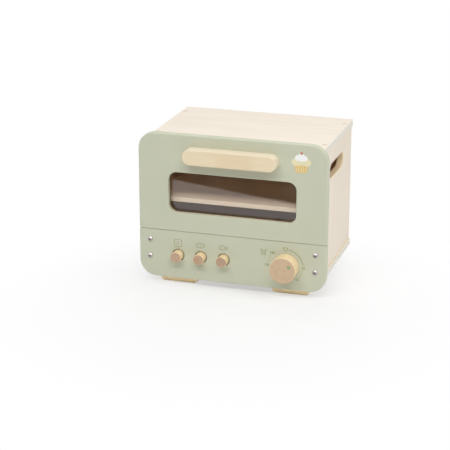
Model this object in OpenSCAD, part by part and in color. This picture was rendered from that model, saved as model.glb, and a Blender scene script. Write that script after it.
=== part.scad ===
// Wooden toy oven: a plywood box with a painted front. The upper part of the
// front is a glazed door that drops forward, the lower part a fixed control
// panel with three sprung push buttons and a turning dial.
//
// Millimetres. X is to the right seen from the front, the front faces -Y and
// Z is up from the surface that the feet stand on.

/* [Box] */
// Width over the outer faces of the side panels
box_w = 258.5; // [240:0.5:280]
// Depth of the box behind the front panels
box_d = 183.5; // [170:0.5:220]
// Height of the side panels between the bottom and top boards
side_h = 178.5; // [170:0.5:200]
// Thickness of the bottom, top and side boards
board_t = 10; // [9:0.5:12]
// How far the bottom and top boards stand past the side panels
board_lap = 1.6; // [0:0.1:4]
// Thickness of the back panel
back_t = 5; // [3:0.5:6]
// Rounding of the boards' edges
board_edge_r = 0.8; // [0.3:0.1:1.5]
// Distance from the back panel to the rear edges of the boards
back_inset = 4.5; // [3:0.5:8]
// Depth of the grooves that hold the back panel
back_groove = 4; // [2:0.5:5]

/* [Hand slots] */
// Length of the hand slot in each side panel
slot_l = 82.5; // [60:0.5:100]
// Height of the hand slot
slot_h = 21.4; // [18:0.2:30]
// Height of the slot's middle above the bottom board
slot_rise = 143.1; // [132:0.2:150]
// Distance from the box's front edge to the slot's middle
slot_y = 89.2; // [80:0.2:100]
// Rounding of the slot's edges
slot_edge_r = 1.2; // [0.4:0.1:2.5]

/* [Front] */
// How far the front stands past the side panels on each side
front_lap = 11.25; // [6:0.25:16]
// How far the front hangs below the bottom board
front_drop = 10; // [4:0.5:16]
// How far the front stands above the top board
front_rise = 9.5; // [4:0.5:16]
// Thickness of the control panel
front_t = 10; // [9:0.5:12]
// Radius of the four outer corners
corner_r = 25; // [12:0.5:30]
// Rounding of the front and back edges
edge_r = 2; // [1:0.25:3]
// Rounding of the corners at the two ends of the seam
notch_r = 2; // [1:0.25:3]
// Height of the control panel
control_h = 72.3; // [64:0.1:80]
// Gap between the control panel and the door
seam_gap = 0.3; // [0.3:0.1:1]

/* [Door] */
// Gap between the closed door's back and the box
door_gap = 0.4; // [0.3:0.1:1]
// Rounding of the door's lower front edge
door_lip_r = 0.6; // [0.3:0.1:1]
// Width of the window opening
window_w = 190.5; // [160:0.5:200]
// Height of the window opening
window_h = 60.8; // [50:0.2:64]
// Distance from the door's lower edge to the window opening
window_rise = 28; // [26:0.5:32]
// Corner radius of the window opening
window_r = 12.5; // [6:0.5:18]
// Rounding of the window opening's front edge
window_edge_r = 0.8; // [0.3:0.1:1.5]
// Thickness of the window pane
pane_t = 2; // [1.5:0.1:3]
// How far the pane laps the door behind the opening
pane_lap = 8; // [7:0.5:10]
// Length of the handle
handle_l = 139; // [100:1:160]
// Height of the handle
handle_h = 22.8; // [20:0.2:28]
// How far the handle stands out of the door
handle_d = 17; // [14:0.5:24]
// Distance from the window opening up to the handle's middle
handle_rise = 28; // [24:0.5:32]
// Rounding of the handle's front edge
handle_edge_r = 1.5; // [0.5:0.25:3]

/* [Hinge] */
// Diameter of the hinge pins
pin_d = 2.5; // [2:0.1:3]
// Length of each hinge pin
pin_l = 27; // [22:0.5:32]
// Thickness of the hinge plates
hinge_t = 1.5; // [1:0.1:2]
// Radius of the hinge plate's eye round the pin
eye_r = 2.6; // [2.4:0.1:2.8]
// Length of the hinge plate along the side panel
hinge_l = 30; // [26:1:44]
// Height of the hinge plate
hinge_h = 12; // [10:0.5:16]

/* [Controls] */
// Diameter of the push buttons
button_d = 16; // [14:0.5:20]
// How far a button stands out of the panel
button_out = 13; // [10:0.5:18]
// How far a button can be pushed in
button_travel = 5; // [3:0.5:6]
// Distance between two buttons
button_pitch = 34.5; // [32:0.5:40]
// Distance from the front's middle to the middle button
button_x = 46.5; // [42:0.5:52]
// Height of the buttons above the control panel's lower edge
button_z = 36; // [34:0.5:40]
// Gap round a button in its hole
button_clear = 1.2; // [0.3:0.1:1.5]
// Diameter of the dial
dial_d = 38.5; // [34:0.5:44]
// Length of the dial
dial_l = 19.5; // [15:0.5:24]
// Distance from the front's middle to the dial
dial_x = 81.4; // [70:0.1:90]
// Height of the dial above the control panel's lower edge
dial_z = 35.5; // [32:0.5:40]
// Gap between the dial and the control panel
dial_gap = 0.6; // [0.5:0.1:1.5]
// Diameter of the dial's spindle
spindle_d = 6; // [5:0.5:8]

/* [Shelf] */
// Height of the shelf's top face above the bottom board
shelf_level = 98.5; // [94:0.5:110]
// Thickness of the shelf
shelf_t = 6.5; // [5:0.5:9]
// Distance from the box's front edge to the shelf
shelf_inset = 7.5; // [6:0.5:20]
// Side of the square rails under the shelf
rail_s = 10; // [8:0.5:12]
// Width of the thin strips above the shelf
strip_w = 4.4; // [3:0.2:6]
// Height of the thin strips above the shelf
strip_h = 4; // [3:0.2:6]

/* [Feet] */
// Height of the feet
foot_h = 21; // [18:0.5:30]
// Width of a foot
foot_w = 55; // [46:1:60]
// Depth of a foot
foot_d = 20; // [16:0.5:28]
// Rounding of a foot's lower corners
foot_r = 5; // [2:0.5:7]
// Distance from the side of the bottom board to a foot
foot_side = 18.5; // [14:0.5:30]
// Distance from the box's front and back to a foot
foot_end = 5; // [4:0.5:16]

/* [Hidden] */
$fn = 64;

// Colours of the paint, the woods and the metals
sage = [0.76, 0.77, 0.68];
ply = [0.93, 0.87, 0.78];
ply_inside = [0.86, 0.77, 0.64];
beech = [0.90, 0.83, 0.69];
steel = [0.75, 0.75, 0.76];
dark_steel = [0.45, 0.45, 0.47];
white_plastic = [0.90, 0.90, 0.88];
felt = [0.55, 0.55, 0.50];
smoke = [0.25, 0.20, 0.16, 0.5];

// How far a cutter runs past the face it cuts
over = 1;
// Play of a board in its groove, and of a screw's shank in its hole
fit = 0.1;
// Play of a turning pin or spindle in its bore
run_fit = 0.05;
// Play between pieces that slide or turn past each other
slide_gap = 0.3;

// The front: its size, and where it stands
front_w = box_w + 2 * front_lap;
front_h = front_drop + side_h + 2 * board_t + front_rise;
dial_reach = dial_gap + dial_l;
total_d = dial_reach + front_t + box_d;
front_y = dial_reach - total_d / 2;
front_z = foot_h - front_drop;

// The box: its faces
box_y = front_y + front_t;
box_back = box_y + box_d;
side_x = box_w / 2;
inner_x = side_x - board_t;
side_mid_x = side_x - board_t / 2;
inner_z = foot_h + board_t;
inner_top = inner_z + side_h;
top_z = inner_top + board_t;
back_y = box_back - back_inset - back_t;

// Screws that join the side panels to the bottom and top boards
box_screw_front = 32;
box_screw_rear = 28;
box_screw_y = [box_y + box_screw_front, box_back - box_screw_rear];
box_screw_l = 34;
box_screw_r = 1.8;
box_head_r = 3.6;
box_head_h = 2.6;
plug_r = 4;
plug_h = 4;

// The cover over the control bay, held in grooves of the side panels
cover_t = 5;
cover_drop = 2.3;
cover_groove = 3;
cover_top = front_z + control_h - cover_drop;

// The shelf and what carries it
shelf_top = inner_z + shelf_level;
shelf_y = box_y + shelf_inset;
shelf_end = back_y - slide_gap;
rail_inset = 3;
rail_y = shelf_y + rail_inset;
rail_l = shelf_end - rail_y;
rail_screw_in = 22;
rail_screw_r = 1.6;
rail_screw_l = 16;
rail_head_r = 3;
rail_head_h = 2;

// The door: its edges, and the hinge axis inside its lower edge
door_t = front_t - door_gap;
door_y0 = control_h + seam_gap;
axis_d = door_t / 2;
axis_y = door_y0 + axis_d;
lip_reach = (axis_d - door_lip_r) * sqrt(2) + door_lip_r;
cove_r = lip_reach + slide_gap;
window_y = door_y0 + window_rise;
window_top = window_y + window_h;
handle_y = window_top + handle_rise;
catch_drop = 16;
catch_y = front_h - front_rise - board_t - catch_drop;
magnet_r = 3;
magnet_l = 5;
strike_r = 5;
strike_t = 1;

// Hinge plates, flat on the side panels' inner faces
hinge_x = inner_x - hinge_t;
hinge_slot_w = hinge_t + 2 * slide_gap;
hinge_setback = 3;
hinge_start = front_t + hinge_setback;
hinge_drop = 0.9;
hinge_y0 = axis_y - eye_r - hinge_drop;
hinge_screw_r = 1.5;
hinge_screw_l = 9;
hinge_screw_in = 7;
hinge_head_r = 2.8;
hinge_head_h = 1.4;
pin_bite = 8;
pin_x0 = hinge_x - pin_bite;
pin_hole_l = front_w / 2 - pin_x0;

// Screws of the control panel, into the side panels' front edges
panel_screw_y = [30.8, 56.5];
panel_screw_r = 2;
panel_screw_l = 30;
panel_head_r = 3.8;
panel_head_h = 2.4;

// Screws of the pane and of the handle
pane_screw_r = 1.1;
pane_screw_l = 7;
pane_head_r = 2.3;
pane_head_h = 1.4;
pane_screw_in = 12;
pane_r = 10;
handle_screw_in = 24;
handle_screw_x = handle_l / 2 - handle_screw_in;
handle_screw_r = 2;
handle_screw_bite = 12;
handle_screw_l = door_t + handle_screw_bite;
handle_head_r = 4;
handle_head_h = 2.6;

// Push buttons: collar behind the panel, spigot, spring and guide board
button_xs = [-button_x - button_pitch, -button_x, -button_x + button_pitch];
button_r = button_d / 2;
button_edge_r = 1.1;
collar_w = 4;
collar_t = 4;
collar_z = -front_t - slide_gap;
button_tail = 4;
button_rear = collar_z - collar_t - button_tail;
spigot_r = 4;
spring_l = 16;
guide_z = button_rear - spring_l;
guide_t = 8;
spigot_out = 2;
spigot_l = spring_l + guide_t + spigot_out;
guide_h = 30;
guide_block_w = 10;
guide_side = button_r + collar_w + button_travel;
guide_screw_r = 1.6;
guide_screw_l = 20;
guide_screw_in = 6;
guide_head_r = 3;
guide_head_h = 1.6;

// Button springs: a round wire wound round the spigot
wire_r = 0.5;
coil_r = 6;
coil_turns = 6;
coil_rings = 8;
coil_sides = 6;

// The dial's bearing and fasteners
dial_r = dial_d / 2;
dial_edge_r = 1.2;
spindle_r = spindle_d / 2;
spindle_in = 12;
bush_wall = 1.5;
bush_r = spindle_r + bush_wall;
bush_flange_r = 8;
bush_flange_t = 1.5;
felt_t = 0.5;
felt_r = 9;
washer_r = 6.5;
washer_t = 1;
washer_gap = 0.2;
washer_z = -front_t - bush_flange_t - washer_gap;
nut_flats = 10;
nut_h = 5;
spindle_out = 1.5;
spindle_end = washer_z - washer_t - nut_h - spindle_out;

// Feet and their screws
foot_x = side_x + board_lap - foot_side - foot_w / 2;
foot_y = [box_y + foot_end + foot_d / 2, box_back - foot_end - foot_d / 2];
foot_screw_x = 15;
foot_screw_r = 2;
foot_head_r = 3.8;
foot_head_h = 2.4;
foot_bore_r = 4.6;
foot_seat = 12;
foot_bore_h = foot_h - foot_seat;
board_skin = 2;
foot_screw_l = foot_seat + board_t - board_skin;

// ---------------------------------------------------------------- helpers

// Places things drawn on the front: x to the right, y up from the front's
// lower edge, z out towards the person in front, with the front face at z = 0
module on_front() translate([0, front_y, front_z]) rotate([90, 0, 0]) children();

// What a rounded edge takes off: the corner is at the origin, with the piece
// on the side of +x and -y
module edge_waste(r) {
    difference() {
        translate([-over, -r]) square(r + over);
        translate([r, -r]) circle(r);
    }
}

// The waste along a straight edge of length l that runs along +x, with the
// piece on the side of +y and -z
module edge_waste_straight(l, r) rotate([90, 0, 90]) linear_extrude(l) edge_waste(r);

// The waste round a convex corner of radius big: a sector about the z axis
module edge_waste_corner(big, r, from, sweep) {
    rotate([0, 0, from]) rotate_extrude(angle = sweep)
        translate([big, 0]) mirror([1, 0]) edge_waste(r);
}

// The waste round the concave end of a hole of radius big
module edge_waste_hole(big, r, from, sweep) {
    rotate([0, 0, from]) rotate_extrude(angle = sweep) translate([big, 0]) edge_waste(r);
}

// The waste of the front edge of a panel of width w and height h that is
// closed at the bottom by two corners of radius big, and open at the top
module panel_edge_waste(w, h, big, r) {
    translate([-w / 2 + big, 0, 0]) edge_waste_straight(w - 2 * big, r);
    translate([-w / 2, h + over, 0]) rotate([0, 0, -90]) edge_waste_straight(h + over - big, r);
    translate([w / 2, big, 0]) rotate([0, 0, 90]) edge_waste_straight(h + over - big, r);
    translate([-w / 2 + big, big, 0]) edge_waste_corner(big, r, 180, 90);
    translate([w / 2 - big, big, 0]) edge_waste_corner(big, r, 270, 90);
}

// Flat outline with two corners of radius big below and two of radius small above
module panel_outline(w, h, big, small) {
    translate([-w / 2 + big, 0]) square([w - 2 * big, h]);
    translate([-w / 2, big]) square([w, h - big - small]);
    translate([-w / 2 + small, big]) square([w - 2 * small, h - big]);
    for (side = [-1, 1]) {
        translate([side * (w / 2 - big), big]) circle(big);
        translate([side * (w / 2 - small), h - small]) circle(small);
    }
}

// A panel of thickness t behind z = 0, with its front and back edges rounded
module rounded_panel(w, h, t, big, small, r) {
    difference() {
        translate([0, 0, -t]) linear_extrude(t) panel_outline(w, h, big, small);
        panel_edge_waste(w, h, big, r);
        translate([0, 0, -t]) mirror([0, 0, 1]) panel_edge_waste(w, h, big, r);
    }
}

// Rounded rectangle about the origin
module rounded_rect(w, h, r) {
    square([w - 2 * r, h], center = true);
    square([w, h - 2 * r], center = true);
    for (x = [-1, 1], y = [-1, 1])
        translate([x * (w / 2 - r), y * (h / 2 - r)]) circle(r);
}

// Rectangle with round ends, about the origin
module pill(l, h) {
    square([l - h, h], center = true);
    for (side = [-1, 1]) translate([side * (l - h) / 2, 0]) circle(h / 2);
}

// Countersunk screw: its head is flush with z = 0 and it points down
module countersunk_screw(head_r, head_h, shank_r, l) {
    difference() {
        rotate_extrude() polygon([
            [0, 0], [head_r, 0], [shank_r, -head_h],
            [shank_r, -l + shank_r / 2], [shank_r / 2, -l], [0, -l]
        ]);
        cross_recess(head_r, head_h * 0.55);
    }
}

// Pan-head screw: its head stands on z = 0 and it points down
module pan_screw(head_r, head_h, shank_r, l) {
    // The head's rim stands a quarter of its height before the dome begins
    dome_h = head_h * 0.75;
    dome_r = (head_r * head_r + dome_h * dome_h) / (2 * dome_h);
    difference() {
        rotate_extrude() {
            polygon([
                [0, head_h / 4], [shank_r, head_h / 4],
                [shank_r, -l + shank_r / 2], [shank_r / 2, -l], [0, -l]
            ]);
            intersection() {
                square([head_r, head_h]);
                translate([0, head_h - dome_r]) circle(dome_r);
            }
        }
        translate([0, 0, head_h]) cross_recess(head_r, head_h * 0.7);
    }
}

// Cross-shaped recess in a screw's head, below z = 0
module cross_recess(head_r, depth) {
    arm = head_r * 1.15;
    blade = head_r * 0.28;
    for (turn = [0, 90]) rotate([0, 0, turn])
        translate([-arm / 2, -blade / 2, -depth]) cube([arm, blade, depth + over]);
}

// What a countersunk screw takes out of the wood, with play all round
module countersunk_hole(head_r, head_h, shank_r, l) {
    translate([0, 0, -head_h]) cylinder(r1 = shank_r + fit, r2 = head_r + fit, h = head_h);
    translate([0, 0, -fit]) cylinder(r = head_r + fit, h = fit + over);
    translate([0, 0, -l - fit]) cylinder(r = shank_r + fit, h = l + fit);
}

// Ring about the z axis
module ring(outer, inner, h) {
    difference() {
        cylinder(r = outer, h = h);
        translate([0, 0, -over]) cylinder(r = inner, h = h + 2 * over);
    }
}

// ---------------------------------------------------------------- box

// Groove of the back panel across a bottom or top board with its inner face at z
module back_groove_across(z) {
    translate([-inner_x - back_groove, back_y - fit, z - back_groove])
        cube([2 * (inner_x + back_groove), back_t + 2 * fit, 2 * back_groove]);
}

// Places things at the four screws that join the boards
module at_box_screws() {
    for (x = [-side_mid_x, side_mid_x], y = box_screw_y) translate([x, y, 0]) children();
}

// Places things at the eight screws of the feet
module at_foot_screws() {
    for (x = [-foot_x, foot_x], y = foot_y, dx = [-foot_screw_x, foot_screw_x])
        translate([x + dx, y, 0]) children();
}

// The bottom or top board from z = 0 up, with all its edges eased
module board() {
    w = 2 * (side_x + board_lap);
    translate([0, box_y + box_d / 2, 0]) difference() {
        translate([-w / 2, -box_d / 2, 0]) cube([w, box_d, board_t]);
        for (turn = [0, 180]) rotate([0, 0, turn]) {
            board_edge_waste(w, box_d);
            rotate([0, 0, 90]) board_edge_waste(box_d, w);
            for (side = [0, 1]) mirror([side, 0, 0])
                translate([-w / 2, box_d / 2, -over])
                    linear_extrude(board_t + 2 * over) edge_waste(board_edge_r);
        }
    }
}

// The waste of the upper and lower edges of length l along x, at y = -d / 2
module board_edge_waste(l, d) {
    for (face = [0, 1]) translate([-l / 2 - over, -d / 2, face * board_t])
        mirror([0, 0, 1 - face]) edge_waste_straight(l + 2 * over, board_edge_r);
}

module bottom_board() color(ply) {
    difference() {
        translate([0, 0, foot_h]) board();
        back_groove_across(inner_z);
        at_box_screws() translate([0, 0, foot_h]) mirror([0, 0, 1])
            countersunk_hole(box_head_r, box_head_h, box_screw_r, box_screw_l);
        at_foot_screws() translate([0, 0, foot_h - over])
            cylinder(r = foot_screw_r + fit, h = board_t - board_skin + over + fit);
    }
}

module top_board() color(ply) {
    difference() {
        translate([0, 0, inner_top]) board();
        back_groove_across(inner_top);
        at_box_screws() {
            translate([0, 0, top_z - plug_h]) cylinder(r = plug_r, h = plug_h + over);
            translate([0, 0, top_z - plug_h])
                countersunk_hole(box_head_r, box_head_h, box_screw_r, box_screw_l);
        }
    }
}

module side_panel() {
    difference() {
        translate([inner_x, box_y, inner_z]) cube([board_t, box_d, side_h]);
        hand_slot_waste();
        for (side = [0, 1]) translate([side_mid_x, box_back, inner_z - over])
            mirror([side, 0, 0]) translate([-board_t / 2, 0, 0])
                linear_extrude(side_h + 2 * over) edge_waste(board_edge_r);
        translate([inner_x - over, back_y - fit, inner_z - over])
            cube([back_groove + over, back_t + 2 * fit, side_h + 2 * over]);
        translate([inner_x - over, box_y - over, cover_top - cover_t - fit])
            cube([cover_groove + over, back_y - box_y + over, cover_t + 2 * fit]);
        for (y = box_screw_y) translate([side_mid_x, y, 0]) {
            translate([0, 0, inner_top - box_screw_l])
                cylinder(r = box_screw_r + fit, h = box_screw_l + over);
            translate([0, 0, inner_z - over])
                cylinder(r = box_screw_r + fit, h = box_screw_l);
        }
        on_front() {
            for (y = panel_screw_y) translate([side_mid_x, y, -panel_screw_l - fit])
                cylinder(r = panel_screw_r + fit, h = panel_screw_l);
            translate([side_mid_x, catch_y, -front_t - magnet_l])
                cylinder(r = magnet_r + fit, h = magnet_l + over);
        }
        at_hinge_screws() translate([0, 0, -over])
            cylinder(r = hinge_screw_r + fit, h = hinge_screw_l + over);
        at_rail_screws() translate([0, 0, rail_s - over])
            cylinder(r = rail_screw_r + fit, h = rail_screw_l - rail_s + over + fit);
    }
}

// The slot through a side panel, with both edges rounded
module hand_slot_waste() {
    translate([side_x, box_y + slot_y, inner_z + slot_rise]) rotate([90, 0, 90]) {
        translate([0, 0, -board_t - over]) linear_extrude(board_t + 2 * over) pill(slot_l, slot_h);
        hand_slot_edge_waste();
        translate([0, 0, -board_t]) mirror([0, 0, 1]) hand_slot_edge_waste();
    }
}

module hand_slot_edge_waste() {
    straight = slot_l - slot_h;
    for (turn = [0, 180]) rotate([0, 0, turn]) {
        translate([-straight / 2, slot_h / 2, 0]) edge_waste_straight(straight, slot_edge_r);
        translate([straight / 2, 0, 0]) edge_waste_hole(slot_h / 2, slot_edge_r, -90, 180);
    }
}

module left_side_panel() color(ply) mirror([1, 0, 0]) side_panel();

module right_side_panel() color(ply) side_panel();

module back_panel() color(ply_inside) {
    reach = back_groove - fit;
    translate([-inner_x - reach, back_y, inner_z - reach])
        cube([2 * (inner_x + reach), back_t, side_h + 2 * reach]);
}

module bay_cover() color(ply_inside) {
    reach = inner_x + cover_groove - fit;
    translate([-reach, box_y + slide_gap, cover_top - cover_t])
        cube([2 * reach, back_y - box_y - 2 * slide_gap, cover_t]);
}

module bottom_board_screws() color(steel) {
    at_box_screws() translate([0, 0, foot_h]) mirror([0, 0, 1])
        countersunk_screw(box_head_r, box_head_h, box_screw_r, box_screw_l);
}

module top_board_screws() color(steel) {
    at_box_screws() translate([0, 0, top_z - plug_h])
        countersunk_screw(box_head_r, box_head_h, box_screw_r, box_screw_l);
}

module top_board_plugs() color(beech) {
    at_box_screws() translate([0, 0, top_z - plug_h]) cylinder(r = plug_r, h = plug_h);
}

// ---------------------------------------------------------------- shelf

module shelf() color(ply) {
    width = 2 * (inner_x - slide_gap);
    translate([-width / 2, shelf_y, shelf_top - shelf_t])
        cube([width, shelf_end - shelf_y, shelf_t]);
}

// Places things at the right rail's screws, with z out through the side panel
module at_rail_screws() {
    for (y = [rail_y + rail_screw_in, rail_y + rail_l - rail_screw_in])
        translate([inner_x - rail_s, y, shelf_top - shelf_t - rail_s / 2])
            rotate([0, 90, 0]) children();
}

module rail() {
    difference() {
        translate([inner_x - rail_s, rail_y, shelf_top - shelf_t - rail_s])
            cube([rail_s, rail_l, rail_s]);
        at_rail_screws() mirror([0, 0, 1])
            countersunk_hole(rail_head_r, rail_head_h, rail_screw_r, rail_screw_l);
    }
}

module left_shelf_rail() color(beech) mirror([1, 0, 0]) rail();

module right_shelf_rail() color(beech) rail();

module strip() {
    translate([inner_x - strip_w, rail_y, shelf_top]) cube([strip_w, rail_l, strip_h]);
}

module left_shelf_strip() color(beech) mirror([1, 0, 0]) strip();

module right_shelf_strip() color(beech) strip();

module rail_screws() color(steel) {
    for (side = [0, 1]) mirror([side, 0, 0])
        at_rail_screws() mirror([0, 0, 1])
            countersunk_screw(rail_head_r, rail_head_h, rail_screw_r, rail_screw_l);
}

// ---------------------------------------------------------------- feet

module foot(side, end) color(beech) {
    difference() {
        translate([side * foot_x, foot_y[end] + foot_d / 2, foot_h]) rotate([90, 0, 0])
            mirror([0, 1, 0]) linear_extrude(foot_d) foot_outline();
        at_foot_screws() {
            translate([0, 0, -over]) cylinder(r = foot_bore_r, h = foot_bore_h + over);
            cylinder(r = foot_screw_r + fit, h = foot_h + over);
        }
    }
}

// A foot seen from the front, hanging down from the board along +y
module foot_outline() {
    translate([-foot_w / 2, 0]) square([foot_w, foot_h - foot_r]);
    translate([-foot_w / 2 + foot_r, 0]) square([foot_w - 2 * foot_r, foot_h]);
    for (side = [-1, 1]) translate([side * (foot_w / 2 - foot_r), foot_h - foot_r]) circle(foot_r);
}

module foot_screws() color(steel) {
    at_foot_screws() translate([0, 0, foot_bore_h]) mirror([0, 0, 1])
        pan_screw(foot_head_r, foot_head_h, foot_screw_r, foot_screw_l);
}

// ---------------------------------------------------------------- control panel

// Places things at the control panel's four screws
module at_panel_screws() {
    for (x = [-side_mid_x, side_mid_x], y = panel_screw_y) translate([x, y, 0]) children();
}

module control_panel() color(sage) on_front() {
    difference() {
        rounded_panel(front_w, control_h, front_t, corner_r, notch_r, edge_r);
        // The cove that the door's lower edge turns in
        translate([-front_w / 2 - over, axis_y, -axis_d]) rotate([0, 90, 0])
            cylinder(r = cove_r, h = front_w + 2 * over);
        for (x = button_xs) translate([x, button_z, -front_t - over])
            cylinder(r = button_r + button_clear, h = front_t + 2 * over);
        translate([dial_x, dial_z, -front_t - over])
            cylinder(r = bush_r, h = front_t + 2 * over);
        at_panel_screws() translate([0, 0, -front_t - over])
            cylinder(r = panel_screw_r + fit, h = front_t + 2 * over);
    }
}

module control_panel_screws() color(steel) on_front() {
    at_panel_screws() pan_screw(panel_head_r, panel_head_h, panel_screw_r, panel_screw_l);
}

module door_magnets() color(dark_steel) on_front() {
    for (side = [-1, 1]) translate([side * side_mid_x, catch_y, -front_t - magnet_l])
        cylinder(r = magnet_r, h = magnet_l);
}

// ---------------------------------------------------------------- hinge

// Places things at the right hinge plate's screws, with z into the side panel
module at_hinge_screws() {
    for (along = [hinge_screw_in, hinge_l - hinge_screw_in])
        translate([inner_x, front_y + hinge_start + along, front_z + hinge_y0 + hinge_h / 2])
            rotate([0, 90, 0]) children();
}

// Flat plate on the inner face of the right side panel, whose eye reaches
// forward into the door's slot. It is drawn on the front, turned to face +x.
module hinge_plate() {
    translate([hinge_x, front_y, front_z]) rotate([90, 0, 90]) difference() {
        linear_extrude(hinge_t) {
            translate([hinge_start, hinge_y0]) square([hinge_l, hinge_h]);
            translate([axis_d, axis_y - eye_r]) square([hinge_start - axis_d + over, 2 * eye_r]);
            translate([axis_d, axis_y]) circle(eye_r);
        }
        translate([axis_d, axis_y, -over]) cylinder(r = pin_d / 2 + run_fit, h = hinge_t + 2 * over);
        for (along = [hinge_screw_in, hinge_l - hinge_screw_in])
            translate([hinge_start + along, hinge_y0 + hinge_h / 2, -over])
                cylinder(r = hinge_screw_r + fit, h = hinge_t + 2 * over);
    }
}

module left_hinge_plate() color(steel) mirror([1, 0, 0]) hinge_plate();

module right_hinge_plate() color(steel) hinge_plate();

module hinge_plate_screws() color(steel) {
    for (side = [0, 1]) mirror([side, 0, 0])
        at_hinge_screws() mirror([0, 0, 1]) translate([0, 0, hinge_t])
            pan_screw(hinge_head_r, hinge_head_h, hinge_screw_r, hinge_screw_l + hinge_t - fit);
}

// Places things on the hinge axis at the right, with z out along +x
module on_axis() translate([0, axis_y, -axis_d]) rotate([0, 90, 0]) children();

module hinge_pins() color(steel) on_front() {
    for (side = [0, 1]) mirror([side, 0, 0]) on_axis()
        translate([0, 0, pin_x0]) cylinder(r = pin_d / 2, h = pin_l);
}

module pin_plugs() color(sage) on_front() {
    for (side = [0, 1]) mirror([side, 0, 0]) on_axis()
        translate([0, 0, pin_x0 + pin_l]) cylinder(r = pin_d / 2, h = pin_hole_l - pin_l);
}

// ---------------------------------------------------------------- door

// Places things at the pane's eight screws
module at_pane_screws() {
    row = window_h / 2 + pane_lap / 2;
    column = window_w / 2 + pane_lap / 2;
    translate([0, window_y + window_h / 2, 0]) {
        for (x = [-1, 0, 1], y = [-1, 1])
            translate([x * (column - pane_screw_in), y * row, 0]) children();
        for (x = [-1, 1]) translate([x * column, 0, 0]) children();
    }
}

// Places things at the handle's two screws
module at_handle_screws() {
    for (x = [-handle_screw_x, handle_screw_x]) translate([x, handle_y, 0]) children();
}

module door_panel() color(sage) on_front() {
    height = front_h - door_y0;
    difference() {
        translate([0, front_h, 0]) mirror([0, 1, 0])
            rounded_panel(front_w, height, door_t, corner_r, notch_r, edge_r);
        door_lower_edge_waste();
        window_waste();
        for (side = [0, 1]) mirror([side, 0, 0]) {
            hinge_slot_waste();
            on_axis() translate([0, 0, pin_x0]) cylinder(r = pin_d / 2, h = pin_hole_l + over);
            translate([side_mid_x, catch_y, -door_t - over])
                cylinder(r = strike_r + fit, h = strike_t + over);
        }
        at_pane_screws() translate([0, 0, -door_t - over])
            cylinder(r = pane_screw_r, h = pane_screw_l - pane_t + over + fit);
        at_handle_screws() translate([0, 0, -door_t]) mirror([0, 0, 1])
            countersunk_hole(handle_head_r, handle_head_h, handle_screw_r, handle_screw_l);
    }
}

// The lower edge: a small rounding in front, and a large one behind about
// the hinge axis, so that the door turns clear of the box and the panel
module door_lower_edge_waste() {
    translate([-front_w / 2 - over, door_y0, 0])
        edge_waste_straight(front_w + 2 * over, door_lip_r);
    translate([-front_w / 2 - over, door_y0, -door_t]) mirror([0, 0, 1])
        edge_waste_straight(front_w + 2 * over, axis_d);
}

module window_waste() {
    long = window_w - 2 * window_r;
    tall = window_h - 2 * window_r;
    translate([0, window_y + window_h / 2, 0]) {
        translate([0, 0, -door_t - over]) linear_extrude(door_t + 2 * over)
            rounded_rect(window_w, window_h, window_r);
        for (turn = [0, 180]) rotate([0, 0, turn]) {
            translate([-long / 2, window_h / 2, 0]) edge_waste_straight(long, window_edge_r);
            translate([window_w / 2, tall / 2, 0]) rotate([0, 0, -90])
                edge_waste_straight(tall, window_edge_r);
            translate([long / 2, tall / 2, 0])
                edge_waste_hole(window_r, window_edge_r, 0, 90);
            translate([-long / 2, tall / 2, 0])
                edge_waste_hole(window_r, window_edge_r, 90, 90);
        }
    }
}

// The slot in the door's back and lower edge for the right hinge plate's eye
module hinge_slot_waste() {
    translate([hinge_x - slide_gap, door_y0 - over, -door_t - over])
        cube([hinge_slot_w, axis_d + eye_r + slide_gap + over,
              door_t - axis_d + eye_r + slide_gap + over]);
}

module window_pane() color(smoke) on_front() {
    translate([0, 0, -door_t - pane_t]) difference() {
        translate([0, window_y + window_h / 2, 0]) linear_extrude(pane_t)
            rounded_rect(window_w + 2 * pane_lap, window_h + 2 * pane_lap, pane_r);
        at_pane_screws() translate([0, 0, -over])
            cylinder(r = pane_screw_r + fit, h = pane_t + 2 * over);
    }
}

module pane_screws() color(steel) on_front() {
    at_pane_screws() translate([0, 0, -door_t - pane_t]) mirror([0, 0, 1])
        pan_screw(pane_head_r, pane_head_h, pane_screw_r, pane_screw_l);
}

module door_handle() color(beech) on_front() {
    difference() {
        translate([0, handle_y, 0]) difference() {
            linear_extrude(handle_d) pill(handle_l, handle_h);
            translate([0, 0, handle_d]) handle_edge_waste();
        }
        at_handle_screws() translate([0, 0, -over])
            cylinder(r = handle_screw_r + fit, h = handle_screw_l - door_t + over + fit);
    }
}

module handle_edge_waste() {
    straight = handle_l - handle_h;
    for (turn = [0, 180]) rotate([0, 0, turn]) {
        translate([-straight / 2, -handle_h / 2, 0]) edge_waste_straight(straight, handle_edge_r);
        translate([straight / 2, 0, 0]) edge_waste_corner(handle_h / 2, handle_edge_r, -90, 180);
    }
}

module handle_screws() color(steel) on_front() {
    at_handle_screws() translate([0, 0, -door_t]) mirror([0, 0, 1])
        countersunk_screw(handle_head_r, handle_head_h, handle_screw_r, handle_screw_l);
}

module strike_plates() color(dark_steel) on_front() {
    for (side = [-1, 1]) translate([side * side_mid_x, catch_y, -door_t])
        cylinder(r = strike_r, h = strike_t);
}

// ---------------------------------------------------------------- buttons

// Round bar along z from z = 0 up, with its upper edge rounded
module rounded_bar(r, l, edge) {
    difference() {
        cylinder(r = r, h = l);
        translate([0, 0, l]) edge_waste_corner(r, edge, 0, 360);
    }
}

module button(i) color(beech) on_front() {
    translate([button_xs[i], button_z, 0]) {
        translate([0, 0, button_rear])
            rounded_bar(button_r, button_out - button_rear, button_edge_r);
        translate([0, 0, button_rear - spigot_l]) cylinder(r = spigot_r, h = spigot_l);
    }
}

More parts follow.
